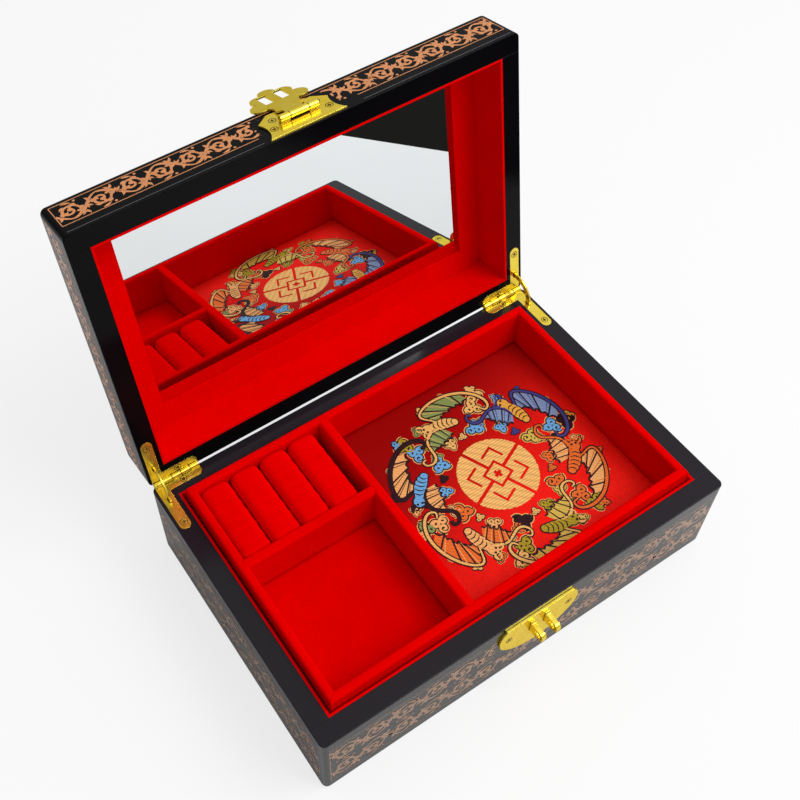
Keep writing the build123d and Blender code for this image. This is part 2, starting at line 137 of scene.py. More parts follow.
class Shade(Nodes):
    """A material under construction. Its textures lie in the object's own metres."""

    def __init__(self, name):
        self.material = bpy.data.materials.new(name)
        self.material.use_nodes = True
        super().__init__(self.material.node_tree)
        self.shader = self.tree.nodes["Principled BSDF"]
        self.place = self.add("ShaderNodeTexCoord").outputs["Object"]

    def set(self, **values):
        """Constants of the shader, with _ for each space in a socket's name."""
        for key, value in values.items():
            self.shader.inputs[key.replace("_", " ")].default_value = value

    def feed(self, source, socket):
        """Wires a node's output to one of the shader's sockets."""
        self.link(source, self.shader.inputs[socket])

    def noise(self, scale, detail=3.0, roughness=0.5, distortion=0.0, place=None):
        node = self.add("ShaderNodeTexNoise")
        node.inputs["Scale"].default_value = scale
        node.inputs["Detail"].default_value = detail
        node.inputs["Roughness"].default_value = roughness
        node.inputs["Distortion"].default_value = distortion
        self.link(place or self.place, node.inputs["Vector"])
        return node.outputs["Fac"]

    def cells(self, scale):
        node = self.add("ShaderNodeTexVoronoi")
        node.inputs["Scale"].default_value = scale
        self.link(self.place, node.inputs["Vector"])
        return node.outputs["Distance"]

    def wave(self, scale, direction, distortion, detail_scale):
        node = self.add("ShaderNodeTexWave", bands_direction=direction)
        node.inputs["Scale"].default_value = scale
        node.inputs["Distortion"].default_value = distortion
        node.inputs["Detail"].default_value = 1.0
        node.inputs["Detail Scale"].default_value = detail_scale
        self.link(self.place, node.inputs["Vector"])
        return node.outputs["Fac"]

    def stretch(self, scale):
        """The place with each axis scaled, which draws a texture out where the scale is small."""
        node = self.add("ShaderNodeMapping")
        node.inputs["Scale"].default_value = scale
        self.link(self.place, node.inputs["Vector"])
        return node.outputs["Vector"]

    def ramp(self, value, low, high, low_at=0.0, high_at=1.0):
        """A smooth step from low to high while the value goes from low_at to high_at."""
        node = self.add("ShaderNodeMapRange", interpolation_type="SMOOTHSTEP")
        node.inputs["From Min"].default_value = low_at
        node.inputs["From Max"].default_value = high_at
        node.inputs["To Min"].default_value = low
        node.inputs["To Max"].default_value = high
        self.link(value, node.inputs["Value"])
        return node.outputs["Result"]

    def mix(self, factor, a, b):
        """Colour a where the factor is 0, and colour b where it is 1."""
        node = self.add("ShaderNodeMix", data_type="RGBA")
        colours = {s.name: s for s in node.inputs if s.type == "RGBA"}
        for value, socket in ((a, colours["A"]), (b, colours["B"])):
            if isinstance(value, tuple):
                socket.default_value = value
            else:
                self.link(value, socket)
        self.link(factor, node.inputs["Factor"])
        return next(s for s in node.outputs if s.type == "RGBA")

    def bump(self, height, depth, strength=1.0, normal=None):
        """A bump of that real depth in metres where the height runs from 0 to 1."""
        node = self.add("ShaderNodeBump")
        node.inputs["Strength"].default_value = strength
        node.inputs["Distance"].default_value = depth
        self.link(height, node.inputs["Height"])
        if normal is not None:
            self.link(normal, node.inputs["Normal"])
        self.feed(node.outputs["Normal"], "Normal")

    def rounded(self, radius):
        """A normal that rounds sharp edges by that radius in metres."""
        node = self.add("ShaderNodeBevel", samples=4)
        node.inputs["Radius"].default_value = radius
        return node.outputs["Normal"]

    def varnish(self, normal=None):
        """The smeared gloss and faint orange peel that the lacquer and its prints share."""
        smear = self.noise(55.0, detail=4.0, roughness=0.6, distortion=0.8)
        self.feed(self.ramp(smear, 0.09, 0.17, low_at=0.35, high_at=0.75), "Roughness")
        self.bump(self.noise(260.0, detail=2.0, roughness=0.4), 0.012 * MM, normal=normal)


def rgb(r, g, b):
    """A linear colour from sRGB values of 0 to 255."""
    def one(v):
        v /= 255.0
        return v / 12.92 if v <= 0.04045 else ((v + 0.055) / 1.055) ** 2.4
    return (one(r), one(g), one(b), 1.0)


# Materials

def lacquer_material(name, gloss, rim_height=None):
    """Black lacquer, polished to a soft gloss with a faint orange peel and smears.

    At the rim height its colour is raised to a lighter dark grey: a painted reflection on the top of
    the rim.
    """
    s = Shade(name)
    s.set(IOR=1.5, Specular_IOR_Level=gloss)
    cloud = s.noise(9.0, detail=3.0)
    cloudy = s.ramp(cloud, 0.0, 1.0, low_at=0.3, high_at=0.7)
    colour = s.mix(cloudy, rgb(7, 6, 8), rgb(12, 11, 13))
    # Painted reflection: the top of the rim is coloured a lighter dark grey.
    if rim_height is not None:
        height = s.along(s.place, (0.0, 0.0, 1.0))
        painted_rim_reflection = s.ramp(
            height, 0.0, 1.0, low_at=rim_height - 0.3 * MM, high_at=rim_height - 0.1 * MM)
        colour = s.mix(painted_rim_reflection, colour, s.mix(cloud, rgb(29, 26, 31), rgb(36, 32, 38)))
    s.feed(colour, "Base Color")
    s.varnish(s.rounded(0.6 * MM))
    return s.material


def flock_material(name, bright, dark):
    """Short red flocking: matt fibres, brushed lighter and darker, with a faint sheen."""
    s = Shade(name)
    s.set(Roughness=0.95, Specular_IOR_Level=0.0)
    s.set(Sheen_Weight=0.12, Sheen_Roughness=0.45, Sheen_Tint=rgb(255, 25, 15))
    brushed = s.noise(38.0, detail=4.0, roughness=0.6, distortion=0.6)
    fibre = s.noise(2600.0, detail=2.0, roughness=0.7)
    depth = s.math(
        "MULTIPLY",
        s.ramp(fibre, 0.55, 1.0, low_at=0.3, high_at=0.7),
        s.ramp(brushed, 0.8, 1.0, low_at=0.3, high_at=0.7))
    s.feed(s.mix(depth, dark, bright), "Base Color")
    height = s.math("ADD", fibre, s.math("MULTIPLY", s.cells(1500.0), 0.6))
    s.bump(height, 0.10 * MM, 0.55, s.rounded(0.5 * MM))
    return s.material


def brass_material(name):
    """Bright yellow plated brass, polished in fine lines, with painted shade that darkens it to
    brown in gaps.
    """
    s = Shade(name)
    s.set(Metallic=0.82, Specular_Tint=(1.0, 0.84, 0.42, 1.0))
    # Painted shade: an occlusion test turns the colour dark brown in the gaps and hollows of the
    # brass.
    hollow_shade_probe = s.add("ShaderNodeAmbientOcclusion", samples=6)
    hollow_shade_probe.inputs["Distance"].default_value = 1.6 * MM
    unshaded_share = s.ramp(hollow_shade_probe.outputs["AO"], 0.0, 1.0, low_at=0.35, high_at=0.85)
    tone = s.ramp(s.noise(120.0, detail=3.0, roughness=0.6), 0.0, 1.0, low_at=0.3, high_at=0.75)
    polished = s.mix(tone, rgb(240, 212, 66), rgb(248, 226, 96))
    s.feed(s.mix(unshaded_share, rgb(92, 66, 14), polished), "Base Color")
    spots = s.noise(420.0, detail=4.0, roughness=0.65)
    s.feed(s.ramp(spots, 0.15, 0.30, low_at=0.35, high_at=0.8), "Roughness")
    lines = s.noise(900.0, detail=2.0, place=s.stretch((0.15, 1.0, 1.0)))
    s.bump(lines, 0.006 * MM, normal=s.rounded(0.35 * MM))
    return s.material


def mirror_material(name):
    """Silvered glass with the faintest haze."""
    s = Shade(name)
    s.set(Metallic=1.0)
    haze = s.noise(24.0, detail=4.0, roughness=0.6)
    s.feed(s.mix(haze, rgb(226, 231, 232), rgb(232, 236, 237)), "Base Color")
    s.feed(s.ramp(haze, 0.0, 0.012, low_at=0.45, high_at=0.8), "Roughness")
    return s.material


def brocade_material(name):
    """Deep red satin ground: long floats crossed by fine ribs. Painted sheen and shade: lighter
    towards its front.
    """
    s = Shade(name)
    s.set(Roughness=0.6, Specular_IOR_Level=0.06)
    rib = s.wave(900.0, "Y", distortion=0.6, detail_scale=2.0)
    warp = s.wave(700.0, "X", distortion=0.4, detail_scale=2.0)
    weave = s.math("ADD", s.math("MULTIPLY", rib, 0.6), s.math("MULTIPLY", warp, 0.4))
    fleck = s.noise(1400.0, detail=2.0, roughness=0.6, place=s.stretch((1.0, 0.35, 1.0)))
    pull = s.noise(16.0, detail=2.0)
    shade = s.math(
        "MULTIPLY", s.ramp(weave, 0.80, 1.0), s.ramp(fleck, 0.80, 1.0, low_at=0.35, high_at=0.65))
    shade = s.math("MULTIPLY", shade, s.ramp(pull, 0.88, 1.0, low_at=0.35, high_at=0.65))
    # Painted sheen and shade: dark red at the back left, bright red towards the front right.
    forward = s.along(s.place, (0.45, -0.89, 0.0))
    painted_sheen = s.ramp(forward, 0.0, 1.0, low_at=-35 * MM, high_at=55 * MM)
    light = s.mix(painted_sheen, rgb(152, 0, 0), rgb(255, 28, 18))
    s.feed(s.mix(shade, rgb(120, 0, 2), light), "Base Color")
    s.bump(weave, 0.03 * MM, 0.6)
    return s.material


def board_material(name):
    """Painted board under the lacquered walls."""
    s = Shade(name)
    s.set(IOR=1.5, Specular_IOR_Level=0.3)
    grain = s.noise(
        60.0, detail=5.0, roughness=0.6, distortion=1.2, place=s.stretch((0.12, 1.0, 1.0)))
    s.feed(s.mix(grain, rgb(18, 17, 17), rgb(34, 32, 31)), "Base Color")
    s.feed(s.ramp(grain, 0.35, 0.6), "Roughness")
    s.bump(grain, 0.05 * MM, 0.8, s.rounded(0.4 * MM))
    return s.material


def gap_shade_material(name):
    """Dark brown paint for painted shade in the joints, gaps and screw heads of the brass."""
    s = Shade(name)
    s.set(Specular_IOR_Level=0.3)
    patch = s.noise(700.0, detail=3.0, roughness=0.6)
    s.feed(s.mix(patch, rgb(44, 26, 8), rgb(96, 62, 18)), "Base Color")
    s.feed(s.ramp(patch, 0.4, 0.7), "Roughness")
    s.bump(patch, 0.02 * MM)
    return s.material


def print_material(name, colour, dark):
    """Copper-coloured print under the clear lacquer, a little uneven and worn thin."""
    s = Shade(name)
    s.set(IOR=1.5, Specular_IOR_Level=0.16)
    speck = s.noise(900.0, detail=3.0, roughness=0.7)
    drift = s.noise(60.0, detail=3.0)
    whole = s.math(
        "MULTIPLY",
        s.ramp(speck, 0.72, 1.0, low_at=0.32, high_at=0.6),
        s.ramp(drift, 0.85, 1.0, low_at=0.3, high_at=0.7))
    s.feed(s.mix(whole, dark, colour), "Base Color")
    s.varnish()
    return s.material


def thread_material(name, colour, row_scale=420.0, cross_scale=230.0):
    """Lustrous floss: rows of stitches with darker dashes between them, coarser at a low scale."""
    s = Shade(name)
    s.set(Roughness=0.5, Specular_IOR_Level=0.15)
    rows = s.wave(row_scale, "Y", distortion=0.6, detail_scale=3.0)
    cross = s.wave(cross_scale, "DIAGONAL", distortion=1.0, detail_scale=3.0)
    lit = s.math(
        "MULTIPLY",
        s.ramp(rows, 0.15, 1.0, low_at=0.05, high_at=0.45),
        s.ramp(cross, 0.6, 1.0, low_at=0.1, high_at=0.6))
    deep = tuple(0.5 * v for v in colour[:3]) + (1.0,)
    s.feed(s.mix(lit, deep, colour), "Base Color")
    s.bump(s.math("ADD", rows, cross), 0.05 * MM, 0.8)
    return s.material


base_lacquer = lacquer_material("lacquer_base", 0.16, base_hi.z)
lid_lacquer = lacquer_material("lacquer_lid", 0.06)
flock = flock_material("flock_red", rgb(236, 0, 0), rgb(184, 0, 0))
velvet = flock_material("flock_floor", rgb(228, 0, 0), rgb(176, 0, 0))
roll_flock = flock_material("flock_rolls", rgb(238, 0, 0), rgb(190, 0, 0))
brass = brass_material("brass_bright")
mirror_glass = mirror_material("mirror_silver")
brocade = brocade_material("brocade_red")
board = board_material("painted_board")
# Dark brown for the painted shade in the gaps and round the screws of the brass.
gap_shade_paint = gap_shade_material("gap_shade_paint")
copper = print_material("copper_print", rgb(226, 152, 98), rgb(120, 74, 48))
faded_copper = print_material("copper_print_faded", rgb(164, 122, 90), rgb(90, 64, 48))
grey_line = print_material("grey_line", rgb(112, 112, 116), rgb(60, 60, 64))

threads = {
    "gold": rgb(252, 198, 112), "amber": rgb(244, 176, 66), "green": rgb(140, 164, 92),
    "blue": rgb(112, 182, 236), "slate": rgb(134, 158, 200), "orange": rgb(244, 116, 40),
    "peach": rgb(255, 186, 112), "olive": rgb(182, 160, 30), "ochre": rgb(226, 194, 82),
    "indigo": rgb(66, 70, 146), "dark": rgb(44, 8, 18),
}
thread_materials = {name: thread_material("thread_" + name, c) for name, c in threads.items()}
disc_thread = thread_material("thread_disc", rgb(255, 196, 112), 190.0, 105.0)


def node_material(name):
    """The material of a CAD node."""
    flocked = ("lid_lining", "base_lining", "mirror_border", "tray", "ring_roll")
    if name.startswith(flocked) or name.endswith("_pad"):
        return flock
    if name == "mirror":
        return mirror_glass
    if name == "base_floor":
        return board
    if name == "lid_panel" or name in lid_walls:
        return lid_lacquer
    if name in base_walls:
        return base_lacquer
    return brass


for name, obj in nodes.items():
    obj.data.materials.clear()
    obj.data.materials.append(node_material(name))


# Mesh helpers

def mesh_object(name, vertices, faces, material, smooth=True):
    mesh = bpy.data.meshes.new(name)
    mesh.from_pydata(vertices, [], faces)
    mesh.materials.append(material)
    mesh.update()
    if smooth:
        mesh.polygons.foreach_set("use_smooth", [True] * len(mesh.polygons))
    obj = bpy.data.objects.new(name, mesh)
    scene.collection.objects.link(obj)
    return obj


def cleaned(obj, clean):
    """Runs a bmesh operation over an object's mesh."""
    work = bmesh.new()
    work.from_mesh(obj.data)
    clean(work)
    work.to_mesh(obj.data)
    work.free()


def join_points(work):
    """Joins points that meet, and turns all faces outward."""
    bmesh.ops.remove_doubles(work, verts=work.verts, dist=0.02 * MM)
    bmesh.ops.recalc_face_normals(work, faces=work.faces)


# Soft pieces, in metres

roll_crown = 6.2 * MM
roll_end_round = 3.4 * MM
roll_end_inset = 1.5 * MM
roll_wobble = 0.12 * MM
roll_rows = 56
roll_around = 40
shoulder_share = 0.3125


def roll_section(node, inset):
    """Half an oval with full shoulders and a crowned top, drawn in by an inset, as x and z."""
    lo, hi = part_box(node)
    half = (hi.x - lo.x) / 2
    centre = (hi.x + lo.x) / 2
    shoulder = hi.z - lo.z - roll_crown
    outline = []
    for k in range(roll_around + 1):
        a = pi * k / roll_around
        side = abs(cos(a)) ** 0.42 * (1 if cos(a) > 0 else -1)
        rise = abs(sin(a)) ** 0.9
        if rise < shoulder_share:
            z = lo.z + shoulder * rise / shoulder_share
        else:
            over = (rise - shoulder_share) / (1 - shoulder_share)
            z = lo.z + shoulder + (roll_crown - inset) * over ** 0.8
        outline.append((centre + side * (half - inset), z))
    return outline


def roll_piece(name, node):
    """A foam ring roll: a crowned pad with full sides, drawn in and rounded at both ends."""
    lo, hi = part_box(node)
    length = hi.y - lo.y
    centre = (hi.x + lo.x) / 2
    vertices, faces = [], []
    for i in range(roll_rows + 1):
        t = i / roll_rows
        end = min(t, 1 - t) * length
        draw = max(0.0, 1 - end / roll_end_round)
        inset = roll_end_inset * draw * draw + roll_wobble * (1 + sin(41 * t + centre * 900))
        vertices += [(x, lo.y + length * t, z) for x, z in roll_section(node, inset)]
    ring = roll_around + 1
    for i in range(roll_rows):
        for k in range(roll_around):
            a = i * ring + k
            faces.append((a, a + 1, a + ring + 1, a + ring))
    for i in (0, roll_rows):
        faces.append(tuple(i * ring + k for k in range(ring)))
    obj = mesh_object(name, vertices, faces, roll_flock)
    cleaned(obj, join_points)
    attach(obj, "tray")
    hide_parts(node)


pad_grid = 0.0022
pad_edge = 1.6 * MM
pad_wander = 0.12 * MM


def pad_height(x, y, lo, hi):
    """The top of a pad at a place: a faint ripple, and a covered edge rolled down all round."""
    near = min(x - lo.x, hi.x - x, y - lo.y, hi.y - y)
    fall = max(0.0, 1 - near / pad_edge)
    ripple = pad_wander * 0.5 * (sin(x * 190 + y * 120) * cos(y * 170 - x * 40) - 1)
    drop = (hi.z - lo.z) * 0.5 * (1 - sqrt(max(0.0, 1 - fall * fall)))
    return hi.z - drop + ripple * (1 - fall)


def pad_piece(name, node, body, material):
    """A thin padded board: flat underneath, with a soft top."""
    lo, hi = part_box(node)
    nx = max(12, int((hi.x - lo.x) / pad_grid))
    ny = max(12, int((hi.y - lo.y) / pad_grid))
    vertices, faces = [], []
    for j in range(ny + 1):
        for i in range(nx + 1):
            x = lo.x + (hi.x - lo.x) * i / nx
            y = lo.y + (hi.y - lo.y) * j / ny
            vertices.append((x, y, pad_height(x, y, lo, hi)))
    for j in range(ny):
        for i in range(nx):
            a = j * (nx + 1) + i
            faces.append((a, a + 1, a + nx + 2, a + nx + 1))
    top = len(vertices)
    rim = list(range(nx + 1))
    rim += [j * (nx + 1) + nx for j in range(1, ny + 1)]
    rim += [ny * (nx + 1) + i for i in range(nx - 1, -1, -1)]
    rim += [j * (nx + 1) for j in range(ny - 1, 0, -1)]
    vertices += [(vertices[index][0], vertices[index][1], lo.z) for index in rim]
    count = len(rim)
    for k in range(count):
        faces.append((rim[k], rim[(k + 1) % count], top + (k + 1) % count, top + k))
    faces.append(tuple(top + k for k in reversed(range(count))))
    obj = mesh_object(name, vertices, faces, material)
    cleaned(obj, join_points)
    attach(obj, body)
    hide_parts(node)


for index in range(1, 5):
    roll_piece("roll_" + str(index), "ring_roll_" + str(index))
pad_piece("tray_velvet", "velvet_pad", "tray", velvet)
pad_piece("tray_brocade", "brocade_pad", "tray", brocade)
pad_piece("case_floor_felt", "base_floor_pad", "base", velvet)


# Flat ornament, drawn in millimetres

stroke_lift = 0.0013
lift_steps = 16
smallest_face = 1e-4


def ribbon(line, width):
    """Quads along a line of points; width is a number, or a function of 0 to 1 along it."""
    n = len(line)
    left, right = [], []
    for i, (x, y) in enumerate(line):
        before, after = line[max(i - 1, 0)], line[min(i + 1, n - 1)]
        dx, dy = after[0] - before[0], after[1] - before[1]
        d = hypot(dx, dy) or 1.0
        w = (width(i / (n - 1)) if callable(width) else width) / 2
        left.append((x - dy / d * w, y + dx / d * w))
        right.append((x + dy / d * w, y - dx / d * w))
    return [(left[i], left[i + 1], right[i + 1], right[i]) for i in range(n - 1)]


def swell(start, middle, end, peak=0.45):
    """A width that swells from its start to its middle and falls to its end."""
    def width(t):
        if t < peak:
            share, low, high = t / peak, start, middle
        else:
            share, low, high = (t - peak) / (1 - peak), middle, end
        return low + (high - low) * share * share * (3 - 2 * share)
    return width


def walk(x, y, heading, length, bend, steps=12):
    """A line that starts at a point and turns evenly by bend degrees over its length."""
    line = [(x, y)]
    a = radians(heading)
    for _ in range(steps):
        a += radians(bend) / steps
        x += cos(a) * length / steps
        y += sin(a) * length / steps
        line.append((x, y))
    return line


def rounded_line(line, times=3):
    """An open line with its corners cut smooth."""
    for _ in range(times):
        out = [line[0]]
        for (x0, y0), (x1, y1) in zip(line, line[1:]):
            out.append((0.75 * x0 + 0.25 * x1, 0.75 * y0 + 0.25 * y1))
            out.append((0.25 * x0 + 0.75 * x1, 0.25 * y0 + 0.75 * y1))
        out.append(line[-1])
        line = out
    return line


def circle(x, y, r, sides):
    turns = [2 * pi * i / sides for i in range(sides)]
    return tuple((x + r * cos(a), y + r * sin(a)) for a in turns)


def dot(x, y, r, sides=12):
    return [circle(x, y, r, sides)]


def heading_at(line, i):
    """The direction of a line at one of its points, in degrees."""
    (x0, y0), (x1, y1) = line[i], line[i + 1]
    return degrees(atan2(y1 - y0, x1 - x0))


def leaf(x, y, heading, length, width, bend):
    """A leaf that starts narrow, swells early and ends in a point."""
    return ribbon(walk(x, y, heading, length, bend, 9), swell(0.35 * width, width, 0.03, 0.4))


def sprig(x, y, heading, size, side):
    """An acanthus tuft: lobes that fan out from one point and bend back."""
    faces = leaf(x, y, heading, size, 0.30 * size, side * 70)
    for step, bend in ((1, 100), (-1, -75)):
        faces += leaf(x, y, heading + side * step * 40, 0.74 * size, 0.27 * size, side * bend)
        faces += leaf(x, y, heading + side * step * 76, 0.48 * size, 0.20 * size, side * bend)
    return faces


def curl(x, y, h, side):
    """A spiral that runs inward from a bend of the vine, in a band of height h."""
    steps = 46
    line = []
    for i in range(steps + 1):
        t = i / steps
        r = h * (0.385 - 0.31 * t ** 0.85)
        a = radians(-88) + 2 * pi * 1.42 * t
        line.append((x + 0.98 * r * cos(a), y + side * (0.01 * h + r * sin(a))))
    return line


def scroll_band(length, h, cell):
    """A running vine that waves along a band of height h, with a leafy curl in each bend."""
    count = max(2, round(length / cell))
    step = length / count
    mid = h / 2

    def vine(t):
        return t * step, mid - 0.40 * h * cos(pi * (t - 0.5))

    vine_line = [vine(i / 18) for i in range(count * 18 + 1)]
    faces = ribbon(vine_line, lambda t: h * (0.075 + 0.02 * cos(2 * pi * t * count)))
    for k in range(count):
        side = 1 if k % 2 == 0 else -1
        x_mid = (k + 0.47) * step
        turn = curl(x_mid, mid, h, side)
        faces += ribbon(turn, swell(0.055 * h, 0.095 * h, 0.07 * h, 0.5))
        faces += dot(*turn[-1], 0.085 * h)
        for i in (11, 17, 23):
            heading = heading_at(turn, i) - side * 43
            faces += leaf(*turn[i], heading, 0.25 * h, 0.135 * h, side * 70)
        for i in (5, 14, 26):
            heading = heading_at(turn, i) + side * 38
            faces += leaf(*turn[i], heading, 0.16 * h, 0.11 * h, side * 100)
        faces += sprig(*vine(k + 0.93), side * 66, 0.38 * h, -side)
        faces += sprig(*vine(k + 0.80), side * -24, 0.34 * h, -side)
        faces += leaf(*vine(k + 0.10), side * -62, 0.26 * h, 0.10 * h, -side * 80)
        edge_y = mid + side * 0.47 * h
        faces += leaf(x_mid - 0.12 * step, edge_y, 6 * side, 0.34 * h, 0.10 * h, -50 * side)
        faces += dot(x_mid + 0.30 * step, mid + side * 0.43 * h, 0.045 * h)
    return [tuple((min(max(x, 0), length), min(max(y, 0), h)) for x, y in f) for f in faces]


def face_area(face):
    pairs = zip(face, face[1:] + face[:1])
    return abs(sum(x0 * y1 - x1 * y0 for (x0, y0), (x1, y1) in pairs)) / 2


def decal(name, faces, place, material, body):
    """Flat faces in millimetres laid on a surface by place(x, y, lift), as one piece.

    Each stroke lies a hair above the one before it, so that none share a plane.
    """
    vertices, polygons = [], []
    stroke, last = 0, ()
    for face in faces:
        if face_area(face) > smallest_face:
            if not set(face) & set(last):
                stroke += 1
            last = face
            start = len(vertices)
            lift = stroke_lift * (stroke % lift_steps)
            vertices.extend(place(x, y, lift) for x, y in face)
            polygons.append(tuple(range(start, start + len(face))))
    outward = Vector(place(0, 0, 1)) - Vector(place(0, 0, 0))

    def face_outward(work):
        work.normal_update()
        inward = [f for f in work.faces if f.normal.dot(outward) < 0]
        bmesh.ops.reverse_faces(work, faces=inward)

    obj = mesh_object(name, vertices, polygons, material, False)
    cleaned(obj, face_outward)
    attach(obj, body)


# Painted shade in the gaps and round the screws of the brass fittings, in millimetres

mark_lift = 0.04
mark_step = 0.01
mark_ring_width = 0.4
mark_cut_width = 0.42
gap_ring_width = 0.26
gap_ring_sides = 28
hinge_gap_inner, hinge_gap_outer = 1.1, 1.9
hasp_gap_inner, hasp_gap_outer = 1.0, 1.98
hasp_gap_from_middle = 5.8
hinge_knuckles = 5


def loose_parts(name):
    """The corner points of each separate screw of a node, as one list for each screw."""
    mesh = nodes[name].data
    group = list(range(len(mesh.vertices)))

    def head(i):
        while group[i] != i:
            group[i] = group[group[i]]
            i = group[i]
        return i

    seen = {}
    for v in mesh.vertices:
        key = tuple(round(c, 6) for c in v.co)
        group[head(v.index)] = head(seen.setdefault(key, v.index))
    for e in mesh.edges:
        group[head(e.vertices[0])] = head(e.vertices[1])
    parts = {}
    for v in mesh.vertices:
        parts.setdefault(head(v.index), []).append(v.co)
    return list(parts.values())


def screw_marks(name, node, body, outward):
    """A dark ring round each screw head and a dark cross on it, on its outward side: painted shade
    in recess and slot.
    """
    outward = Vector(outward).normalized()
    across = outward.orthogonal().normalized()
    along = outward.cross(across)
    vertices, polygons = [], []
    for points in loose_parts(node):
        high = max(p.dot(outward) for p in points)
        top = [p for p in points if p.dot(outward) > high - 0.05 * MM]
        centre = sum(top, Vector()) / len(top)
        radius = max((p - centre).length for p in top) / MM
        rim_circle = list(circle(0, 0, radius + 0.1, 24))
        ring = ribbon(rim_circle + rim_circle[:1], mark_ring_width)
        turn = radians(17 + 61 * len(polygons) % 90)
        cut = 0.62 * radius
        ends = [(cut * cos(a), cut * sin(a)) for a in (turn, turn + pi / 2)]
        bars = [ribbon([(-x, -y), (x, y)], mark_cut_width)[0] for x, y in ends]
        for k, face in enumerate(ring + bars):
            start = len(vertices)
            layer = max(0, k + 1 - len(ring))
            lift = (mark_lift + mark_step * layer) * MM
            vertices.extend(
                centre + across * x * MM + along * y * MM + outward * lift for x, y in face)
            polygons.append(tuple(range(start, start + len(face))))
    obj = mesh_object(name, vertices, polygons, gap_shade_paint, False)
    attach(obj, body)


def gap_shade_rings(name, body, places, centre, inner, outer):
    """Dark rings of painted shade round a hinge pin, one in each gap between the knuckles."""
    vertices, faces = [], []
    half = gap_ring_width * MM / 2
    section = ((-half, inner * MM), (-half, outer * MM), (half, outer * MM), (half, inner * MM))
    for x in places:
        start = len(vertices)
        for dx, r in section:
            for k in range(gap_ring_sides):
                a = 2 * pi * k / gap_ring_sides
                vertices.append((x + dx, centre.y + r * cos(a), centre.z + r * sin(a)))
        for band in range(len(section) - 1):
            low = start + band * gap_ring_sides
            for k in range(gap_ring_sides):
                a, b = low + k, low + (k + 1) % gap_ring_sides
                faces.append((a, b, b + gap_ring_sides, a + gap_ring_sides))
    obj = mesh_object(name, vertices, faces, gap_shade_paint, False)
    cleaned(obj, join_points)
    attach(obj, body)


# Painted shade: dark rings in the gaps between the knuckles of both hinges and the hasp.
for side in ("left", "right"):
    leaf_lo, leaf_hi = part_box("hinge_base_leaf_" + side)
    pitch = (leaf_hi.x - leaf_lo.x) / hinge_knuckles
    gaps = [leaf_lo.x + pitch * k for k in range(1, hinge_knuckles)]
    gap_shade_rings(
        "hinge_gap_shade_" + side, "base", gaps, hinge_point, hinge_gap_inner, hinge_gap_outer)

hasp_point = Vector(joint_named("hasp_swing")["pos_m"])
hasp_lo, hasp_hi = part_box("hasp_pin")
hasp_middle = (hasp_lo.x + hasp_hi.x) / 2
hasp_gaps = [hasp_middle + side * hasp_gap_from_middle * MM for side in (-1, 1)]
gap_shade_rings("hasp_gap_shade", "lid", hasp_gaps, hasp_point, hasp_gap_inner, hasp_gap_outer)

upward, frontward = Vector((0, 0, 1)), Vector((0, -1, 0))
lid_turn = to_open.to_3x3()
# Painted shade: dark rings round the screw heads and dark crosses for the shade in their slots.
screw_marks("hinge_base_marks", "hinge_base_screws", "base", upward)
screw_marks("hinge_lid_marks", "hinge_lid_screws", "lid", lid_turn @ -upward)
screw_marks("hasp_marks", "hasp_screws", "lid", lid_turn @ frontward)
screw_marks("staple_marks", "staple_screws", "base", frontward)


# Painted scroll bands, in millimetres

print_proud = 0.05
band_corner = 4.2
row_margin = 0.4
cell_share = 0.92
post_width = 0.5
cover_margin = 0.3


def wall_places(lo, hi):
    """For each side of a box: its length, and a map from along and up, in millimetres, onto it."""
    x0, x1, y0, y1 = (v / MM for v in (lo.x, hi.x, lo.y, hi.y))
    out = print_proud
    return {
        "front": (x1 - x0, lambda a, z, up: ((x0 + a) * MM, (y0 - out - up) * MM, z * MM)),
        "right": (y1 - y0, lambda a, z, up: ((x1 + out + up) * MM, (y0 + a) * MM, z * MM)),
        "back": (x1 - x0, lambda a, z, up: ((x1 - a) * MM, (y1 + out + up) * MM, z * MM)),
        "left": (y1 - y0, lambda a, z, up: ((x0 - out - up) * MM, (y1 - a) * MM, z * MM)),
    }


def lid_place(place):
    """The same map onto the lid as it stands open."""
    return lambda a, z, up: to_open @ Vector(place(a, z, up))


def strip(length, z, width):
    """A straight line along a wall at a height."""
    n = max(2, int(length / 12))
    return ribbon([(length * i / n, z) for i in range(n + 1)], width)


def moved(faces, dx, dy=0.0):
    return [tuple((x + dx, y + dy) for x, y in f) for f in faces]


def outside(faces, low, high):
    """The faces that don't meet a rectangle where a metal plate covers the print."""
    kept = []
    for face in faces:
        x = [p[0] for p in face]
        y = [p[1] for p in face]
        if max(x) < low[0] or min(x) > high[0] or max(y) < low[1] or min(y) > high[1]:
            kept.append(face)
    return kept


def plate_cover(plate_box, lo):
    """Along and up limits, in millimetres, of the metal that covers the front print."""
    low, high = plate_box
    return (
        ((low.x - lo.x) / MM - cover_margin, low.z / MM - cover_margin),
        ((high.x - lo.x) / MM + cover_margin, high.z / MM + cover_margin),
    )


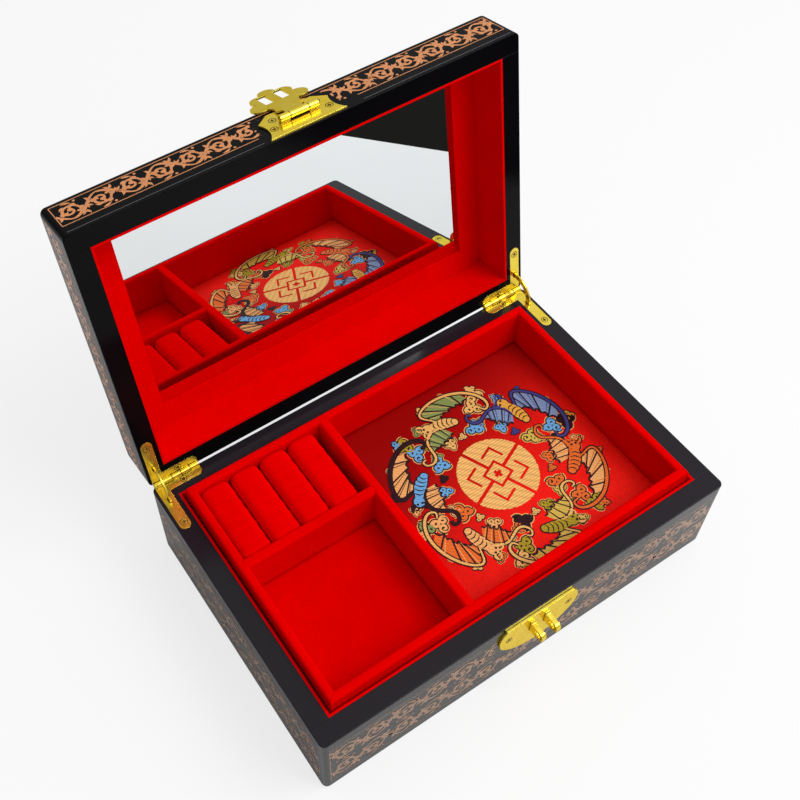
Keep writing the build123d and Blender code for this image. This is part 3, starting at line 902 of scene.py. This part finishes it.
def scroll_print(body, walls, rows, row_low, row_height, borders, greys, plate_box, ink):
    """Bands of scroll print with border lines on all four sides of the base or the lid.

    Each border or grey line is a pair of its height and its width.
    """
    for side, (length, place) in wall_places(*walls).items():
        band = length - 2 * band_corner
        prints, greys_drawn = [], []
        for row in range(rows):
            shift = row_low + row * row_height + row_margin
            cells = scroll_band(band, row_height - 2 * row_margin, cell_share * row_height)
            if row % 2:
                cells = [tuple((band - x, y) for x, y in f) for f in cells]
            prints += moved(cells, band_corner, shift)
        for z, width in borders:
            prints += moved(strip(band, z, width), band_corner)
        for z, width in greys:
            greys_drawn += moved(strip(band, z, width), band_corner)
        for end in (band_corner, band_corner + band):
            prints += ribbon([(end, borders[0][0]), (end, borders[-1][0])], post_width)
        if side == "front":
            cover = plate_cover(plate_box, walls[0])
            prints = outside(prints, *cover)
            greys_drawn = outside(greys_drawn, *cover)
        put = lid_place(place) if body == "lid" else place
        decal(body + "_scroll_" + side, prints, put, ink, body)
        decal(body + "_lines_" + side, greys_drawn, put, grey_line, body)


lid_rim = lid_lo.z / MM
scroll_print(
    "lid", (lid_lo, lid_hi), rows=1, row_low=lid_rim + 8.4, row_height=18.6,
    borders=[(lid_rim + 8.1, 0.6), (lid_rim + 27.3, 0.6)], greys=[(lid_rim + 2.3, 0.35)],
    plate_box=closed_box("hasp_plate"), ink=copper)
scroll_print(
    "base", (base_lo, base_hi), rows=2, row_low=9.6, row_height=21.8,
    borders=[(9.2, 0.6), (53.6, 0.6)], greys=[(55.6, 0.9), (61.2, 0.4)],
    plate_box=rest_box("staple_plate"), ink=faded_copper)


# Woven medallion, in millimetres

bat_count = 6
first_bat = 98
ring_middle = 49.0
outline_width = 0.8
thread_proud = 0.05
layer_rise = 0.045
colour_rise = 0.0021
medallion_forward = 4.2


class Weave:
    """Flat woven shapes collected by thread colour and layer."""

    def __init__(self):
        self.faces = {}
        self.lowest = 0

    def put(self, colour, layer, faces, warp):
        kept = self.faces.setdefault((colour, layer + self.lowest), [])
        kept.extend(tuple(warp(p) for p in f) for f in faces)

    def stroke(self, colour, line, width, warp, edge, rim, dark):
        """A stroke of thread with a dark outline, and an edge colour outside that if rim isn't 0."""
        def wider(extra):
            return lambda t: width(t) + extra
        if rim:
            self.put(edge, 0, ribbon(line, wider(2 * (rim + dark))), warp)
        self.put("dark", 1, ribbon(line, wider(2 * dark)), warp)
        self.put(colour, 2, ribbon(line, width), warp)

    def blob(self, colour, x, y, r, warp, edge, rim, dark):
        """A round spot of thread, outlined as a stroke is."""
        if rim:
            self.put(edge, 0, dot(x, y, r + rim + dark), warp)
        self.put("dark", 1, dot(x, y, r + dark), warp)
        self.put(colour, 2, dot(x, y, r), warp)


def wing_skin(weave, wing, edge, arm, scallops, warp):
    """A membrane from a wing's arm to its scalloped trailing edge, with ribs."""
    upper = rounded_line(arm, 2)
    n = len(upper) - 1
    parts = len(scallops) - 1
    lower = []
    for i, (ux, uy) in enumerate(upper):
        t = i / n * parts
        k = min(int(t), parts - 1)
        f = t - k
        x = scallops[k][0] + (scallops[k + 1][0] - scallops[k][0]) * f
        y = scallops[k][1] + (scallops[k + 1][1] - scallops[k][1]) * f
        pull = 0.22 * sin(pi * f)
        lower.append((x + (ux - x) * pull, y + (uy - y) * pull))
    weave.put(wing, 1, [(upper[i], upper[i + 1], lower[i + 1], lower[i]) for i in range(n)], warp)
    weave.put("dark", 2, ribbon(lower, 1.2), warp)
    for k in range(1, parts):
        i = round(k / parts * n)
        weave.put("dark", 2, ribbon([upper[i], lower[i]], 0.9), warp)
        j = max(i - 1, 0)
        weave.put(edge, 3, ribbon([upper[j], lower[j]], swell(0.5, 0.8, 0.2)), warp)


def bat_body(t):
    """The middle and the fullness of a bat's body, from its tail at 0 to its neck at 1."""
    return -8 + 13.5 * t, -3.6 + 6.0 * t, sin(pi * (0.12 + 0.72 * t))


def bat(weave, at, body, wing, edge):
    """A bat that flies round the ring, its inner wing swept ahead and its outer wing back.

    Its points are millimetres ahead of its middle and outward from the ring's middle line.
    """
    def warp(p):
        a = radians(at) + p[0] / ring_middle
        r = ring_middle + p[1]
        return r * cos(a), r * sin(a)

    inner = [(2, -3), (8, 0.5), (17, -0.5), (20.5, -5)]
    inner_edge = [(-1, -10), (3.5, -13), (8, -11.8), (12.5, -12.8), (16.5, -10), (21, -8.5)]
    inner_arm = inner[:3] + [
        (21, -5), (25.5, -10), (31.5, -10.5), (35.5, -6.5), (33.5, -2.6), (30.5, -4.2)]
    outer = [(1, 4), (5, 13), (0, 16.4), (-12, 16.4), (-20, 13.5)]
    outer_edge = [(-3, 3.5), (-7, 5), (-11, 4), (-15, 5.2), (-19, 5.2), (-22.5, 9)]
    outer_arm = [
        (1.5, 4), (6.5, 13.6), (0, 17), (-12, 17.2), (-23, 14.3),
        (-31, 8.5), (-34, 2.5), (-31.5, -1.4), (-28, 0.8)]
    wing_skin(weave, wing, edge, inner, inner_edge, warp)
    weave.stroke(
        edge, rounded_line(inner_arm), swell(0.8, 1.6, 0.9), warp, edge, 0, outline_width)
    wing_skin(weave, wing, edge, outer, outer_edge, warp)
    weave.stroke(
        edge, rounded_line(outer_arm), swell(0.8, 1.8, 0.9), warp, edge, 0, outline_width)
    for i in range(6):
        x, y, full = bat_body(i / 5)
        weave.blob(body, x, y, 1.5 + 2.3 * full, warp, edge, 0, outline_width)
    for i in range(5):
        x, y, full = bat_body((i + 0.6) / 5)
        w = 1.1 + 2.0 * full
        back = x - 0.6
        band = rounded_line([(back - w * 0.35, y + w), (x + 0.9, y), (back + w * 0.35, y - w)], 2)
        weave.put("dark", 3, ribbon(band, swell(0.3, 0.8, 0.3)), warp)
    weave.blob(body, 9.0, 3.8, 3.4, warp, edge, 0.4, outline_width)
    for side in (-1, 1):
        ear = walk(10, 4.2 + side * 2.4, 20 + side * 70, 5.6, -side * 80)
        weave.stroke(edge, ear, swell(1.0, 1.6, 0.1), warp, edge, 0, 0.7)
        weave.put("dark", 3, dot(10.3, 4.0 + side * 1.5, 0.8, 8), warp)
        whisker = walk(12.0, 4.4 + side * 0.9, 12 + side * 12, 5.5, side * 120)
        weave.put(edge, 2, ribbon(whisker, swell(0.8, 1.0, 0.2)), warp)


def cloud(weave, at, radius, size, colour, edge, turn):
    """A small cloud of three curls and two tails, drawn at a size of 1 and scaled."""
    x0, y0 = radius * cos(radians(at)), radius * sin(radians(at))
    a0 = radians(at + turn)

    def warp(p):
        x, y = p[0] * size, p[1] * size
        return x0 + x * cos(a0) - y * sin(a0), y0 + x * sin(a0) + y * cos(a0)

    steps = 21
    for k in range(3):
        side = 1 if k % 2 else -1
        away = radians(90 + 120 * k)
        x, y = 0.48 * cos(away), 0.48 * sin(away)
        curl_line = []
        for i in range(steps + 1):
            t = i / steps
            r = 0.42 * (1 - 0.74 * t)
            a = away + side * 2 * pi * 1.2 * t
            curl_line.append((x + r * cos(a), y + r * sin(a)))
        weave.stroke(colour, curl_line, swell(0.16, 0.27, 0.18), warp, edge, 0.09, 0.12)
    for heading, bend, long in ((-40, 80, 0.95), (215, -70, 0.75)):
        tail = walk(0.0, -0.35, heading, long, bend)
        weave.stroke(colour, tail, swell(0.22, 0.24, 0.03), warp, edge, 0.08, 0.11)


def medallion():
    """Bats round a ring, over clouds that fill the ground between them."""
    weave = Weave()
    bodies = ("gold", "amber", "orange", "olive", "peach", "blue")
    wings = ("green", "slate", "peach", "ochre", "orange", "peach")
    edges = ("gold", "indigo", "orange", "gold", "gold", "dark")
    outer_clouds = ("olive", "gold", "dark", "olive", "gold", "green")
    inner_clouds = ("blue", "ochre", "orange", "dark", "orange", "blue")
    middle_clouds = ("gold", "blue", "orange", "olive", "peach", "blue")
    # Degrees ahead of the bat, radius, size, colours, edge, first turn and turn for each bat.
    clouds = (
        (-22, 35.5, 6.6, inner_clouds, "gold", 20, 40),
        (10, 35.0, 5.0, middle_clouds, "peach", 200, 50),
        (29, 60.0, 6.8, outer_clouds, "peach", 90, -30),
        (-12, 62.5, 5.6, middle_clouds, "gold", 30, 70),
        (-28, 51.0, 6.6, middle_clouds, "peach", 150, 50),
        (21, 45.5, 5.0, outer_clouds, "gold", 0, 60),
        (3, 65.0, 3.6, edges, "dark", 25, 20),
        (-30, 64.5, 4.2, bodies, "dark", 80, 35),
        (31, 38.5, 4.4, wings, "gold", 0, 110),
        (15, 57.0, 4.2, wings, "peach", 140, 65),
        (-5, 33.5, 3.2, edges, "dark", 15, 65),
    )
    places = [first_bat - 360 / bat_count * k for k in range(bat_count)]
    for k, at in enumerate(places):
        for ahead, radius, size, colours, edge, turn, turn_step in clouds:
            cloud(weave, at + ahead, radius, size, colours[k], edge, turn + turn_step * k)
    weave.lowest = 3
    for k, at in enumerate(places):
        bat(weave, at, bodies[k], wings[k], edges[k])
    return weave


def lattice_disc(radius, line, turn):
    """A round panel in small cells, without those on the lines of a square lattice.

    The lattice is a square inside an open frame, with a cross that joins them to the edge.
    """
    cell = 0.55
    square, frame_square, frame_opening, inner_cross = 6.2, 13.4, 3.6, 2.6
    steps = int(radius / cell) + 1
    c, s = cos(radians(turn)), sin(radians(turn))
    faces = []
    for i in range(-steps, steps):
        for j in range(-steps, steps):
            x, y = (i + 0.5) * cell, (j + 0.5) * cell
            if hypot(x, y) > radius:
                continue
            small, big = sorted((abs(x), abs(y)))
            on_axis = small < line / 2
            on_square = abs(big - square) < line / 2
            on_frame = abs(big - frame_square) < line / 2 and small > frame_opening
            on_cross = on_axis and (big > square or big < inner_cross)
            if on_square or on_frame or on_cross:
                continue
            h = cell / 2
            corners = ((x - h, y - h), (x + h, y - h), (x + h, y + h), (x - h, y + h))
            faces.append(tuple((p * c - q * s, p * s + q * c) for p, q in corners))
    return faces


brocade_lo, brocade_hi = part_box("brocade_pad")
medallion_x = (brocade_lo.x + brocade_hi.x) / 2 / MM
medallion_y = (brocade_lo.y + brocade_hi.y) / 2 / MM - medallion_forward
brocade_top = brocade_hi.z / MM


def woven_place(layer, colour):
    """A map from the medallion's millimetres onto the pad. Each colour has its own height."""
    rise = (
        brocade_top + thread_proud + layer_rise * layer
        + colour_rise * list(threads).index(colour))
    return lambda x, y, up: ((medallion_x + x) * MM, (medallion_y + y) * MM, (rise + up) * MM)


for (colour, layer), faces in medallion().faces.items():
    decal(
        "medallion_" + colour + "_" + str(layer), faces, woven_place(layer, colour),
        thread_materials[colour], "tray")
disc = lattice_disc(radius=25.3, line=1.7, turn=24)
decal("medallion_disc", disc, woven_place(1, "gold"), disc_thread, "tray")


# Floor, light and camera

table_start = 0.352
table_lean = 0.297
floor_half = 6.0
paper_glow = 0.75


def floor_piece():
    """A white sheet. Mirror and metal see it end beside the box, where a dark table starts."""
    corners = ((-1, -1), (1, -1), (1, 1), (-1, 1))
    s = Shade("floor_white")
    s.set(Roughness=0.8, Specular_IOR_Level=0.1, Base_Color=(0.86, 0.86, 0.86, 1.0))
    path = s.add("ShaderNodeLightPath")
    glow = s.add("ShaderNodeEmission")
    glow.inputs["Color"].default_value = (1.0, 1.0, 1.0, 1.0)
    to_camera = s.math("MULTIPLY", path.outputs["Is Camera Ray"], paper_glow)
    paper = s.blend(to_camera, s.shader.outputs["BSDF"], glow.outputs["Emission"])
    dark = s.add("ShaderNodeBsdfDiffuse")
    dark.inputs["Color"].default_value = rgb(30, 29, 27)
    beyond = s.math("GREATER_THAN", s.along(s.place, (1.0, -table_lean, 0.0)), table_start)
    reflected = s.math("MULTIPLY", beyond, path.outputs["Is Glossy Ray"])
    whole = s.blend(reflected, paper, dark.outputs["BSDF"])
    s.link(whole, s.tree.nodes["Material Output"].inputs["Surface"])
    mesh_object(
        "floor", [(x * floor_half, y * floor_half, 0) for x, y in corners], [(0, 1, 2, 3)],
        s.material)


def world_light():
    """Soft studio surroundings: bright overhead and on the right, darker on the left."""
    world = bpy.data.worlds.new("studio")
    scene.world = world
    world.use_nodes = True
    w = Nodes(world.node_tree)
    around = w.add("ShaderNodeTexCoord").outputs["Generated"]
    level = w.math("ADD", w.along(around, (0.36, -0.06, 0.42)), 0.36)
    light = w.tree.nodes["Background"]
    light.inputs["Color"].default_value = (1.0, 0.99, 1.0, 1.0)
    w.link(w.math("MAXIMUM", level, 0.10), light.inputs["Strength"])
    seen = w.add("ShaderNodeBackground")
    seen.inputs["Color"].default_value = (1.0, 1.0, 1.0, 1.0)
    to_camera = w.add("ShaderNodeLightPath").outputs["Is Camera Ray"]
    surface = w.blend(to_camera, light.outputs["Background"], seen.outputs["Background"])
    w.link(surface, w.tree.nodes["World Output"].inputs["Surface"])


def key_light():
    """One soft lamp over the front right corner, turned to the box."""
    place, target = Vector((0.7, -0.7, 1.5)), Vector((0, 0, 0.05))
    data = bpy.data.lights.new("key", "AREA")
    data.shape = "RECTANGLE"
    data.size, data.size_y = 1.1, 0.9
    data.energy = 17
    obj = bpy.data.objects.new("key", data)
    scene.collection.objects.link(obj)
    obj.location = place
    obj.rotation_euler = (target - place).to_track_quat("-Z", "Y").to_euler()


def camera_piece():
    """The camera fitted to the straight edges of the box in the photograph."""
    place = Vector((-0.23224, -0.26158, 0.6337))
    right = Vector((0.83767, -0.54551, -0.02703))
    forward = Vector((0.31454, 0.52228, -0.79264))
    data = bpy.data.cameras.new("camera")
    data.sensor_width = 36.0
    data.lens = 50.69
    data.shift_x = 0.0984
    data.shift_y = -0.0440
    data.clip_start = 0.01
    data.clip_end = 50.0
    obj = bpy.data.objects.new("camera", data)
    scene.collection.objects.link(obj)
    turn = Matrix((right, right.cross(forward), -forward)).transposed()
    obj.matrix_world = Matrix.Translation(place) @ turn.to_4x4()
    scene.camera = obj


floor_piece()
world_light()
key_light()
camera_piece()

scene.view_settings.view_transform = "Standard"
